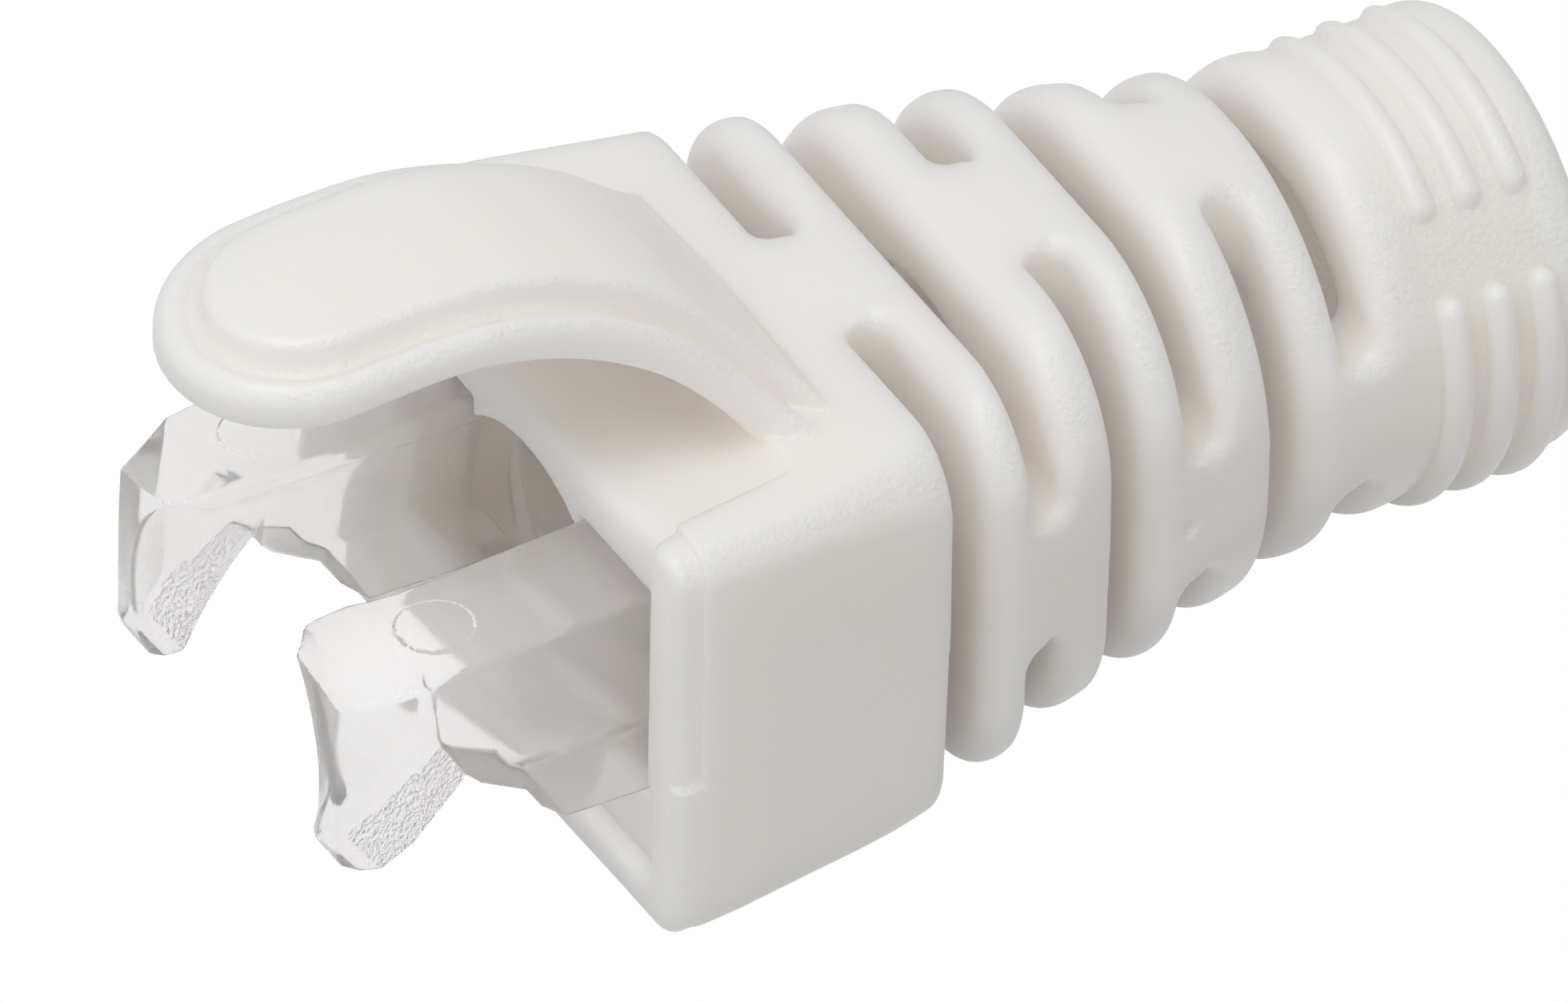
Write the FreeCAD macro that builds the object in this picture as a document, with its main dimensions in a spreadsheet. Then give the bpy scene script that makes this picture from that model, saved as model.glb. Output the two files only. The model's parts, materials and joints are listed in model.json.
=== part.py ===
"""RJ45 strain relief boot: a soft one-piece boot and the clear cable clamp that it holds.

The model is drawn from the mouth, where x = 0, towards the cable end. X runs along the cable, Y is
across and Z is up, with the latch guard on top. At the end both pieces are moved back along X by the
overall length, so the row's origin is the centre of the cable entry's end face.
"""
import FreeCAD, Part
import math
import os

import Sketcher

Vector = FreeCAD.Vector
Rotation = FreeCAD.Rotation

# ---------------------------------------------------------------------------------------------
# Driving dimensions, in millimetres and degrees
# ---------------------------------------------------------------------------------------------
SIZES = [
    # the block that stands behind the plug
    ("block_length", 6.75, "mouth to the back of the block"),
    ("block_height", 10.35, "underside to top"),
    ("axis_height", 5.6, "underside to the cable's axis"),
    ("mouth_width", 15.0, "block width at the mouth"),
    ("back_width", 13.85, "block width at its back"),
    ("mouth_corner", 0.9, "corner radius at the mouth"),
    ("back_corner", 2.2, "corner radius at the back"),
    ("lip_length", 0.7, "length of the stepped lip round the mouth"),
    ("lip_step", 0.2, "how far the lip stands in from the sides"),
    ("side_wall", 1.15, "cheek thickness at the mouth"),
    ("floor_wall", 1.1, "floor thickness at the mouth"),
    ("recess_depth", 0.55, "mouth to the bulkhead"),
    ("bulkhead_thickness", 1.1, "wall that keeps the clamp in"),
    # the room inside the block
    ("bulkhead_ledge", 0.85, "bulkhead beside the window"),
    ("floor_ledge", 0.6, "bulkhead below the window"),
    ("window_corner", 0.3, "corner radius of the window, the groove and what fits them"),
    ("seat_lip", 0.5, "groove for the clamp's frame, beyond the window"),
    ("seat_length", 1.5, "groove for the clamp's frame, along the cable"),
    ("room_length", 2.25, "back of the groove to the end of the inner room"),
    ("channel_depth", 1.15, "latch channel's floor, below the block's top"),
    ("channel_wall", 1.0, "between the latch channel and the inner room"),
    ("channel_inset", 0.25, "latch channel's sides, in from the mouth's sides"),
    ("channel_end", 4.0, "mouth to the back of the latch channel"),
    # the flexible section
    ("gap_width", 1.0, "slot width along the cable"),
    ("ring_width", 1.12, "ring width along the cable"),
    ("top_web", 3.4, "width of the webs above and below the cable"),
    ("side_web", 3.1, "height of the webs at the sides"),
    # the collar
    ("bore_radius", 3.2, "cable passage"),
    ("collar_wall", 1.68, "cable passage to the collar's outside"),
    ("neck_wall", 1.75, "cable passage to the flexible section's outside, at the collar"),
    ("collar_length", 5.4, "last slot to the cable entry"),
    ("rim_round", 0.7, "rounding of the end rim"),
    ("rib_height", 0.3, "grip rib above the collar"),
    ("rib_width", 0.8, "grip rib at its foot"),
    ("rib_pitch", 1.03, "from one grip rib to the next"),
    ("rib_margin", 1.15, "end face to the middle of the last grip rib"),
    ("upper_rib_sweep", 86.0, "degrees of the ribs over the top"),
    ("lower_rib_sweep", 238.0, "degrees of the ribs under the bottom"),
    # the latch guard
    ("guard_rise", 4.13, "crown of the guard above the block"),
    ("guard_crown", 8.9, "root of the guard to its crown, along the cable"),
    ("guard_reach", 13.25, "root of the guard to its tip"),
    ("guard_root", 1.5, "back of the block to the guard's root"),
    ("guard_droop", 0.38, "how much lower the tip is than the crown"),
    ("guard_thickness", 1.3, "guard's rim"),
    ("guard_tip_width", 6.3, "guard at its tip"),
    ("guard_neck_width", 7.4, "guard above the mouth"),
    ("guard_root_width", 11.0, "guard at its root"),
    ("pad_height", 0.4, "thumb pad above the guard's rim"),
    ("pad_inset", 1.1, "thumb pad in from the guard's edge"),
    # the clear clamp
    ("clamp_clearance", 0.1, "clamp in its groove and its window, each side"),
    ("arm_reach", 6.85, "arm tips in front of the mouth"),
    ("arm_gap", 4.6, "between the arms"),
    ("arm_fall", 0.3, "top of the arms, from the bulkhead down to the lead-in"),
    ("lead_length", 1.55, "lead-in at the arm tips"),
    ("lead_drop", 0.4, "lead-in, down from the arms' tops"),
    ("lead_taper", 0.7, "lead-in, in from the arms' outer sides"),
    ("hook_depth", 2.6, "hook's point below the axis"),
    ("arm_depth", 2.4, "underside of the arms below the axis, at the mouth"),
    ("notch_depth", 0.5, "top of the notch below the axis"),
    ("notch_reach", 4.05, "top of the notch in front of the mouth"),
    ("bevel_width", 0.9, "bevel inside the hooks, across"),
    ("bevel_height", 1.9, "bevel inside the hooks, up and down"),
    ("frame_wall", 1.0, "clamp frame under the cable"),
]


class Term:
    """A size, or sums and products of sizes, kept both as a number and as a sheet expression."""

    def __init__(self, number, text):
        self.number = float(number)
        self.text = text

    def __add__(self, other):
        other = term(other)
        return Term(self.number + other.number, f"({self.text} + {other.text})")

    def __sub__(self, other):
        other = term(other)
        return Term(self.number - other.number, f"({self.text} - {other.text})")

    def __mul__(self, other):
        other = term(other)
        return Term(self.number * other.number, f"({self.text} * {other.text})")

    def __truediv__(self, other):
        other = term(other)
        return Term(self.number / other.number, f"({self.text} / {other.text})")

    def __neg__(self):
        return Term(-self.number, f"(-1 * {self.text})")

    __radd__ = __add__
    __rmul__ = __mul__

    def __rsub__(self, other):
        return term(other) - self


def term(value):
    """Any plain number as a Term."""
    return value if isinstance(value, Term) else Term(value, f"{float(value):.6g}")


def root(value):
    """Square root of a Term."""
    return Term(math.sqrt(value.number), f"sqrt({value.text})")


doc = FreeCAD.newDocument("strain_relief_boot")
sheet = doc.addObject("Spreadsheet::Sheet", "sizes")
size = {}
for row, (name, value, note) in enumerate(SIZES, start=1):
    sheet.set(f"A{row}", name)
    sheet.set(f"B{row}", str(value))
    sheet.set(f"C{row}", note)
    sheet.setAlias(f"B{row}", name)
    size[name] = Term(value, f"sizes.{name}")
doc.recompute()


# ---------------------------------------------------------------------------------------------
# Helpers for bodies and sketches
# ---------------------------------------------------------------------------------------------
def bind(item, prop, value):
    """Give a property its number, and tie it to the sheet."""
    item.setExpression(prop, term(value).text)


def new_body(name):
    """An empty PartDesign body."""
    return doc.addObject("PartDesign::Body", name)


def plane_of(body, role):
    """One of a body's own origin planes."""
    return next(item for item in body.Origin.OriginFeatures if item.Role == role)


def new_sketch(owner, name, role, offset=0.0):
    """A sketch on a body's origin plane, moved along the plane's normal by an offset."""
    sketch = owner.newObject("Sketcher::SketchObject", name)
    sketch.AttachmentSupport = [(plane_of(owner, role), "")]
    sketch.MapMode = "FlatFace"
    bind(sketch, "AttachmentOffset.Base.z", offset)
    return sketch


def free_sketch(name, rotation):
    """A sketch that belongs to no body, turned to its plane through the origin."""
    sketch = doc.addObject("Sketcher::SketchObject", name)
    sketch.Placement = FreeCAD.Placement(Vector(0, 0, 0), rotation)
    return sketch


def hold_point(sketch, edge, end, point):
    """Tie one end of an edge to two coordinates."""
    for kind, value in (("DistanceX", point[0]), ("DistanceY", point[1])):
        value = term(value)
        index = sketch.addConstraint(Sketcher.Constraint(kind, edge, end, value.number))
        sketch.setExpression(f"Constraints[{index}]", value.text)


def flat(point):
    """A pair of Terms as a vector in the sketch's plane."""
    return Vector(term(point[0]).number, term(point[1]).number, 0)


def hold_arc(sketch, edge, middle):
    """Make an arc pass through a point of its own."""
    point = sketch.addGeometry(Part.Point(flat(middle)))
    sketch.setConstruction(point, True)
    sketch.addConstraint(Sketcher.Constraint("PointOnObject", point, 1, edge))
    hold_point(sketch, point, 1, middle)


def add_arc(sketch, begin, middle, end):
    """An arc through three points: its edge, and the vertices where it begins and ends."""
    turns_left = (middle - begin).cross(end - middle).z > 0
    first, last = (begin, end) if turns_left else (end, begin)
    centre = Part.Arc(begin, middle, end).toShape().Curve.Center
    circle = Part.Circle(centre, Vector(0, 0, 1), centre.distanceToPoint(begin))
    from_angle, to_angle = (math.atan2(point.y - centre.y, point.x - centre.x) for point in (first, last))
    edge = sketch.addGeometry(Part.ArcOfCircle(circle, from_angle, to_angle))
    return (edge, 1, 2) if turns_left else (edge, 2, 1)


def draw_outline(sketch, points):
    """A closed outline of lines and arcs.

    Each entry is a corner (x, y), or (x, y, "arc", mid_x, mid_y) where the stretch that leads to
    the next corner is an arc through the middle point.
    """
    edges = []
    for entry, following in zip(points, points[1:] + points[:1]):
        begin = flat(entry)
        end = flat(following)
        if len(entry) > 2:
            edges.append(add_arc(sketch, begin, flat(entry[3:5]), end))
        else:
            edges.append((sketch.addGeometry(Part.LineSegment(begin, end)), 1, 2))
    for index, (edge, start_vertex, end_vertex) in enumerate(edges):
        previous, _, last_vertex = edges[index - 1]
        sketch.addConstraint(Sketcher.Constraint("Coincident", previous, last_vertex, edge, start_vertex))
        hold_point(sketch, edge, start_vertex, points[index])
        if len(points[index]) > 2:
            hold_arc(sketch, edge, points[index][3:5])


def box_outline(half_width, top, bottom, corner):
    """A rectangle with round corners, from a half width, a top, a bottom and a corner radius."""
    diagonal = corner * (1.0 - math.sqrt(0.5))
    left, right = -half_width, half_width
    return [
        (left + corner, bottom),
        (right - corner, bottom, "arc", right - diagonal, bottom + diagonal),
        (right, bottom + corner),
        (right, top - corner, "arc", right - diagonal, top - diagonal),
        (right - corner, top),
        (left + corner, top, "arc", left + diagonal, top - diagonal),
        (left, top - corner),
        (left, bottom + corner, "arc", left + diagonal, bottom + diagonal),
    ]


def hold_circle(sketch, radius):
    """A circle about the sketch's origin."""
    edge = sketch.addGeometry(Part.Circle(Vector(0, 0, 0), Vector(0, 0, 1), radius.number))
    sketch.addConstraint(Sketcher.Constraint("Coincident", edge, 3, -1, 1))
    index = sketch.addConstraint(Sketcher.Constraint("Radius", edge, radius.number))
    sketch.setExpression(f"Constraints[{index}]", radius.text)


def pad(body, name, sketch, length, both_ways=False, backwards=False):
    """Material from a sketch."""
    feature = body.newObject("PartDesign::Pad", name)
    feature.Profile = sketch
    feature.SideType = "Symmetric" if both_ways else "One side"
    feature.Reversed = backwards
    bind(feature, "Length", length)
    doc.recompute()
    return feature


def pocket(body, name, sketch, length=None, backwards=False, both_ways=False):
    """A cut from a sketch, which must take material away."""
    before = body.Shape.Volume
    feature = body.newObject("PartDesign::Pocket", name)
    feature.Profile = sketch
    feature.Reversed = backwards
    feature.SideType = "Symmetric" if both_ways else "One side"
    if length is None:
        feature.Type = "ThroughAll"
    else:
        bind(feature, "Length", length)
    doc.recompute()
    if not body.Shape.Volume < before - 1e-3:
        raise RuntimeError(f"{name} cuts nothing")
    return feature


def repeat(body, name, feature, pitch, count):
    """Copies of a feature along X, counting the first."""
    pattern = body.newObject("PartDesign::LinearPattern", name)
    pattern.Originals = [feature]
    axis = next(item for item in body.Origin.OriginFeatures if item.Role == "X_Axis")
    pattern.Direction = (axis, [""])
    pattern.Occurrences = count
    bind(pattern, "Length", pitch * (count - 1))
    body.Tip = pattern
    doc.recompute()
    return pattern


# ---------------------------------------------------------------------------------------------
# Sizes that follow from the driving ones
# ---------------------------------------------------------------------------------------------
GAPS = 6
RINGS = GAPS - 1
RIBS = 3

pitch = size["gap_width"] + size["ring_width"]
flex_length = pitch * RINGS + size["gap_width"]
collar_start = size["block_length"] + flex_length
overall_length = collar_start + size["collar_length"]
block_top = size["block_height"] - size["axis_height"]
block_bottom = -size["axis_height"]
collar_radius = size["bore_radius"] + size["collar_wall"]
neck_radius = size["bore_radius"] + size["neck_wall"]

mouth_half = size["mouth_width"] / 2 - size["side_wall"]
mouth_floor = block_bottom + size["floor_wall"]
window_half = mouth_half - size["bulkhead_ledge"]
window_floor = mouth_floor + size["floor_ledge"]
channel_floor = block_top - size["channel_depth"]
window_top = channel_floor - size["channel_wall"]
seat_start = size["recess_depth"] + size["bulkhead_thickness"]
seat_half = window_half + size["seat_lip"]
room_end = seat_start + size["seat_length"] + size["room_length"]


# ---------------------------------------------------------------------------------------------
# Boot: block, flexible section and collar
# ---------------------------------------------------------------------------------------------
def section_sketch(body, name, position, half_width, top, bottom, corner):
    """A cross-section of the boot, at a distance from the mouth."""
    sketch = new_sketch(body, name, "YZ_Plane", position)
    draw_outline(sketch, box_outline(half_width, top, bottom, corner))
    return sketch


def build_hull(body):
    """The solid outside form: a stepped lip, the tapering block and the tapering flexible part."""
    step = size["lip_step"]
    lip = section_sketch(body, "lip_section", term(0), size["mouth_width"] / 2 - step,
                         block_top - step, block_bottom + step, size["mouth_corner"])
    pad(body, "lip", lip, size["lip_length"] + 0.2)
    front = section_sketch(body, "mouth_section", size["lip_length"], size["mouth_width"] / 2,
                           block_top, block_bottom, size["mouth_corner"])
    back = section_sketch(body, "back_section", size["block_length"], size["back_width"] / 2,
                          block_top, block_bottom, size["back_corner"])
    neck = section_sketch(body, "neck_section", collar_start, neck_radius,
                          neck_radius, -neck_radius, neck_radius * 0.98)
    hull = body.newObject("PartDesign::AdditiveLoft", "hull")
    hull.Profile = front
    hull.Sections = [back, neck]
    hull.Ruled = True
    doc.recompute()


def revolve(body, name, outline, sweep):
    """Material turned about the cable's axis, evenly both ways from the drawn half."""
    sketch = new_sketch(body, f"{name}_profile", "XZ_Plane")
    draw_outline(sketch, outline)
    feature = body.newObject("PartDesign::Revolution", name)
    feature.Profile = sketch
    feature.ReferenceAxis = (sketch, ["H_Axis"])
    feature.Midplane = True
    bind(feature, "Angle", sweep)
    doc.recompute()
    return feature


def build_collar(body):
    """The round collar with its rounded end rim and its grip ribs."""
    radius = collar_radius
    rim = size["rim_round"]
    bulge = rim * (1.0 - math.sqrt(0.5))
    revolve(body, "collar", [
        (collar_start - size["gap_width"] * 0.5, term(0)),
        (overall_length, term(0)),
        (overall_length, radius - rim, "arc", overall_length - bulge, radius - bulge),
        (overall_length - rim, radius),
        (collar_start - size["gap_width"] * 0.5, radius),
    ], term(360))
    first_rib = overall_length - size["rib_margin"] - size["rib_pitch"] * (RIBS - 1)
    foot = size["rib_width"] / 2
    sunk = radius - 0.3
    crest = radius + size["rib_height"]
    for name, side, sweep in (("upper_rib", 1.0, "upper_rib_sweep"), ("lower_rib", -1.0, "lower_rib_sweep")):
        feature = revolve(body, name, [
            (first_rib - foot, sunk * side),
            (first_rib - foot, radius * side, "arc", first_rib, crest * side),
            (first_rib + foot, radius * side),
            (first_rib + foot, sunk * side),
        ], size[sweep])
        repeat(body, f"{name}s", feature, size["rib_pitch"], RIBS)


def cut_slots(body):
    """The slots of the flexible section.

    Odd gaps are open at both sides and keep a web above and below the cable. Even gaps are open
    above and below, and keep a web at each side. Every slot ends in a half round.
    """
    half = size["gap_width"] / 2
    far = size["mouth_width"]
    for name, role, web, first_gap in (("side_slot", "XY_Plane", size["top_web"], 0),
                                       ("cross_slot", "XZ_Plane", size["side_web"], 1)):
        start = size["block_length"] + pitch * first_gap
        middle = start + half
        sketch = new_sketch(body, f"{name}_outline", role)
        for side in (1.0, -1.0):
            end = web / 2
            draw_outline(sketch, [
                (start, far * side),
                (start, (end + half) * side, "arc", middle, end * side),
                (start + size["gap_width"], (end + half) * side),
                (start + size["gap_width"], far * side),
            ])
        feature = pocket(body, name, sketch, both_ways=True)
        repeat(body, f"{name}s", feature, pitch * 2, GAPS // 2)


def hollow_block(body):
    """The mouth recess, the bulkhead's window, the clamp's groove, the latch channel and the bore."""
    above = block_top + 1.0
    recess = new_sketch(body, "recess_outline", "YZ_Plane")
    corner = size["window_corner"]
    bulge = corner * (1.0 - math.sqrt(0.5))
    draw_outline(recess, [
        (-mouth_half, above),
        (-mouth_half, mouth_floor + corner, "arc", -mouth_half + bulge, mouth_floor + bulge),
        (-mouth_half + corner, mouth_floor),
        (mouth_half - corner, mouth_floor, "arc", mouth_half - bulge, mouth_floor + bulge),
        (mouth_half, mouth_floor + corner),
        (mouth_half, above),
    ])
    pocket(body, "mouth_recess", recess, size["recess_depth"], backwards=True)

    channel = new_sketch(body, "channel_outline", "YZ_Plane")
    side = mouth_half - size["channel_inset"]
    draw_outline(channel, [(-side, above), (-side, channel_floor), (side, channel_floor), (side, above)])
    pocket(body, "latch_channel", channel, size["channel_end"], backwards=True)

    window = new_sketch(body, "window_outline", "YZ_Plane")
    draw_outline(window, box_outline(window_half, window_top, window_floor, corner))
    pocket(body, "window", window, room_end, backwards=True)

    seat = new_sketch(body, "seat_outline", "YZ_Plane", seat_start)
    draw_outline(seat, box_outline(seat_half, window_top, window_floor, corner))
    pocket(body, "clamp_seat", seat, size["seat_length"], backwards=True)

    bore = new_sketch(body, "bore_outline", "YZ_Plane", room_end - 0.5)
    hold_circle(bore, size["bore_radius"])
    pocket(body, "cable_bore", bore, overall_length - room_end + 1.0, backwards=True)


# ---------------------------------------------------------------------------------------------
# Boot: latch guard
# ---------------------------------------------------------------------------------------------
SIDE_VIEW = Rotation(Vector(1, 0, 0), 90)
PLAN_VIEW = Rotation()


def extrude(name, sketch, direction, length, both_ways):
    """A solid drawn out from a sketch outside any body."""
    solid = doc.addObject("Part::Extrusion", name)
    solid.Base = sketch
    solid.DirMode = "Custom"
    solid.Dir = direction
    solid.Solid = True
    solid.Symmetric = both_ways
    bind(solid, "LengthFwd", length)
    return solid


def guard_layer(name, lift, inset, thickness):
    """One layer of the guard: its curved side view, held to its rounded plan.

    The side view is a band about one arc, which leaves the block's top at the root and is level
    at the crown, and then a straight stretch that droops to the tip.
    """
    rise = size["guard_rise"]
    run = size["guard_crown"]
    arc_radius = (run * run + rise * rise) / (rise * 2)
    root_x = size["block_length"] - size["guard_root"]
    crown_x = root_x - run
    crown_z = block_top + rise
    centre_z = crown_z - arc_radius
    outer = arc_radius + lift
    inner = outer - thickness
    tip_x = root_x - size["guard_reach"]
    foot_z = block_top - 0.8
    slope = size["guard_droop"] / (size["guard_reach"] - run)
    beyond = tip_x - 1.0
    drop = slope * (crown_x - beyond)

    def arc_x(radius, height):
        return crown_x + root(radius * radius - height * height)

    foot = foot_z - centre_z
    half = math.sqrt(0.5)
    profile = free_sketch(f"{name}_side", SIDE_VIEW)
    draw_outline(profile, [
        (beyond, centre_z + outer - drop),
        (crown_x, centre_z + outer, "arc", crown_x + outer * half, centre_z + outer * half),
        (arc_x(outer, foot), foot_z),
        (arc_x(inner, foot), foot_z, "arc", crown_x + inner * half, centre_z + inner * half),
        (crown_x, centre_z + inner),
        (beyond, centre_z + inner - drop),
    ])
    band = extrude(f"{name}_band", profile, Vector(0, 1, 0), size["guard_root_width"] * 2, True)

    tip = size["guard_tip_width"] / 2 - inset
    neck = size["guard_neck_width"] / 2 - inset
    base = size["guard_root_width"] / 2 - inset
    tip_centre = tip_x + size["guard_tip_width"] / 2
    neck_x = root_x * 0.2
    flare_x = (neck_x + root_x) / 2
    flare = neck + (base - neck) * 0.35
    behind = root_x + 1.6
    plan = free_sketch(f"{name}_plan", PLAN_VIEW)
    draw_outline(plan, [
        (tip_centre, tip),
        (neck_x, neck, "arc", flare_x, flare),
        (root_x, base),
        (behind, base),
        (behind, -base),
        (root_x, -base, "arc", flare_x, -flare),
        (neck_x, -neck),
        (tip_centre, -tip, "arc", tip_centre - tip, term(0)),
    ])
    outline = extrude(f"{name}_outline", plan, Vector(0, 0, 1), size["block_height"] * 3, False)
    layer = doc.addObject("Part::Common", name)
    layer.Base = band
    layer.Tool = outline
    doc.recompute()
    return layer


def build_boot():
    """The boot: one moulded piece."""
    body = new_body("boot_body")
    build_hull(body)
    build_collar(body)
    cut_slots(body)
    hollow_block(body)
    rim = guard_layer("guard_rim", term(0), term(0), size["guard_thickness"])
    thumb = guard_layer("guard_pad", size["pad_height"], size["pad_inset"],
                        size["pad_height"] + size["guard_thickness"] / 2)
    boot = doc.addObject("Part::MultiFuse", "boot")
    boot.Shapes = [body, rim, thumb]
    boot.Refine = True
    return boot


# ---------------------------------------------------------------------------------------------
# Clear clamp
# ---------------------------------------------------------------------------------------------
def build_clamp():
    """The clear cable clamp: a frame in the boot's groove and two hooked arms out of the mouth."""
    body = new_body("clear_clamp")
    gap = size["clamp_clearance"]
    frame_start = seat_start + gap
    frame_length = size["seat_length"] - gap * 2
    frame_end = frame_start + frame_length
    top = window_top - gap
    bottom = window_floor + gap

    frame = new_sketch(body, "frame_outline", "YZ_Plane", frame_start)
    draw_outline(frame, box_outline(seat_half - gap, top, bottom, size["window_corner"]))
    pad(body, "frame", frame, frame_length)

    inner = size["arm_gap"] / 2
    outer = window_half - gap
    slot = new_sketch(body, "slot_outline", "YZ_Plane", frame_start)
    slot_floor = bottom + size["frame_wall"]
    draw_outline(slot, [(-inner, top + 1.0), (-inner, slot_floor), (inner, slot_floor), (inner, top + 1.0)])
    pocket(body, "cable_slot", slot, size["seat_length"] * 2, backwards=True)

    tip = -size["arm_reach"]
    hook = -size["hook_depth"]
    notch = -size["notch_reach"]
    notch_top = -size["notch_depth"]
    underside = -size["arm_depth"]
    crease = top - size["arm_fall"]
    arm = new_sketch(body, "arm_outline", "XZ_Plane", -inner)
    draw_outline(arm, [
        (tip + 0.15, crease - size["lead_drop"]),
        (tip, hook + 0.4),
        (tip + 0.3, hook),
        (tip + 1.1, hook + 0.1),
        (notch, notch_top),
        (notch + 1.3, (notch_top + underside) * 0.42),
        (notch + 2.4, underside),
        (frame_end, underside),
        (frame_end, top),
        (-size["recess_depth"], top),
        (tip + size["lead_length"], crease),
    ])
    right = pad(body, "arm", arm, outer - inner, backwards=True)

    lead = new_sketch(body, "lead_outline", "XY_Plane", hook * 2)
    draw_outline(lead, [
        (tip + size["lead_length"], outer),
        (tip, outer - size["lead_taper"]),
        (tip - 1.0, outer - size["lead_taper"]),
        (tip - 1.0, outer + 1.0),
        (tip + size["lead_length"], outer + 1.0),
    ])
    taper = pocket(body, "lead_in", lead, (top - hook) * 3, backwards=True)

    bevel = new_sketch(body, "bevel_outline", "YZ_Plane", tip - 1.0)
    bevel_bottom = hook + 0.5
    draw_outline(bevel, [
        (inner - 1.0, hook - 1.0),
        (inner + size["bevel_width"], hook - 1.0),
        (inner + size["bevel_width"], bevel_bottom),
        (inner, bevel_bottom + size["bevel_height"]),
        (inner - 1.0, bevel_bottom + size["bevel_height"]),
    ])
    facet = pocket(body, "hook_bevel", bevel, notch - tip + 1.0, backwards=True)

    edge = new_sketch(body, "edge_outline", "YZ_Plane", tip - 1.0)
    corner = size["window_corner"]
    draw_outline(edge, [
        (outer - corner, top),
        (outer, top - corner),
        (outer + 1.0, top - corner),
        (outer + 1.0, top + 1.0),
        (outer - corner, top + 1.0),
    ])
    top_edge = pocket(body, "arm_edge", edge, frame_start - tip + 1.0, backwards=True)

    mirror = body.newObject("PartDesign::Mirrored", "arms")
    mirror.Originals = [right, taper, facet, top_edge]
    mirror.MirrorPlane = (plane_of(body, "XZ_Plane"), [""])
    body.Tip = mirror
    doc.recompute()
    return body


# ---------------------------------------------------------------------------------------------
# Assembly, checks and files
# ---------------------------------------------------------------------------------------------
pieces = {"boot": build_boot(), "clear_clamp": build_clamp()}
for label, piece in pieces.items():
    piece.Label = label
    bind(piece, "Placement.Base.x", -overall_length)
doc.recompute()

for item in doc.Objects:
    for state in ("Invalid", "Error"):
        if state in item.State:
            raise RuntimeError(f"{item.Name} is {state}")
for label, piece in pieces.items():
    shape = piece.Shape
    if shape.isNull() or not shape.isValid() or len(shape.Solids) != 1:
        raise RuntimeError(f"{label} is not one valid solid")

os.makedirs("parts", exist_ok=True)
for label, piece in pieces.items():
    piece.Shape.exportStep(f"parts/{label}.step")
    box = piece.Shape.BoundBox
    print(f"{label}: volume {piece.Shape.Volume:.1f} mm3, x {box.XMin:.2f} to {box.XMax:.2f}, "
          f"y {box.YMin:.2f} to {box.YMax:.2f}, z {box.ZMin:.2f} to {box.ZMax:.2f}")
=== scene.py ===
"""Looks of the RJ45 strain relief boot: a soft white moulding and the clear clamp in its mouth.

Both pieces are smooth mouldings with rounded slots, lips and fillets, so each is described by one
signed distance field in millimetres, negative inside the material, and meshed from it. The fields
share the CAD's frame: x runs along the cable and is 0 at the cable entry's end face, y is across,
z is up. Both pieces are the same on both sides of y = 0, apart from the webs at the top and bottom
of the boot's neck, its upper grip ribs and its gate marks. The fields of its outside, its guard and
its hollow take y as the distance from the middle.
"""
import json
import math

import bpy
import numpy as np
from mathutils import Matrix, Vector


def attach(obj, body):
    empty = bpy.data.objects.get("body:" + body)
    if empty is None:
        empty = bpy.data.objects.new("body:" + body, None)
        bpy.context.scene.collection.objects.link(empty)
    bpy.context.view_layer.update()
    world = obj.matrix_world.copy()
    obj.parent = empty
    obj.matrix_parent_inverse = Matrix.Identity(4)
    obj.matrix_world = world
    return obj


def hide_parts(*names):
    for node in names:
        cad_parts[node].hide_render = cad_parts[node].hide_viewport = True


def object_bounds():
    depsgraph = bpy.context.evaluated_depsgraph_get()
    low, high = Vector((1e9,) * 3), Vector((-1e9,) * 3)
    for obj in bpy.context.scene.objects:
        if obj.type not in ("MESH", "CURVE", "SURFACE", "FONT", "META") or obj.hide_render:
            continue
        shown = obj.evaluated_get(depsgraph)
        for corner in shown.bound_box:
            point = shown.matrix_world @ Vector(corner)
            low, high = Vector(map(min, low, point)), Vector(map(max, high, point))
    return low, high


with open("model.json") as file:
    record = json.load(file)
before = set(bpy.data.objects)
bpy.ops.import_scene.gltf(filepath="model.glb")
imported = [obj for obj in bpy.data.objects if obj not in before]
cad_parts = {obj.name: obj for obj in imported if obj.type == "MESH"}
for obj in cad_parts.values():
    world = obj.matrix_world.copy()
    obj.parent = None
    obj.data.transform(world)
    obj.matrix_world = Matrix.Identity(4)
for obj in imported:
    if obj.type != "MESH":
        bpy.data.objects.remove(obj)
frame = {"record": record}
start_bounds = [list(side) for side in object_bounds()]
mounts = {mount["name"]: mount for mount in frame["record"]["mounts"]}

MM = 0.001

# Places along the cable, in millimetres
END = 0.0
MOUTH = round(mounts["plug_mouth"]["pos_m"][0] / MM, 3)
BULKHEAD = MOUTH + 0.52
BLOCK_BACK = MOUTH + 6.75
GUARD_TIP = BLOCK_BACK - 14.75
SEAT = BLOCK_BACK - 3.95

# The passage for the cable, and how far below it the arch between the clamp's arms is centred
BORE = mounts["cable_bore"]["dims"]["r_mm"]
ARCH_DROP = 1.0


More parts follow.
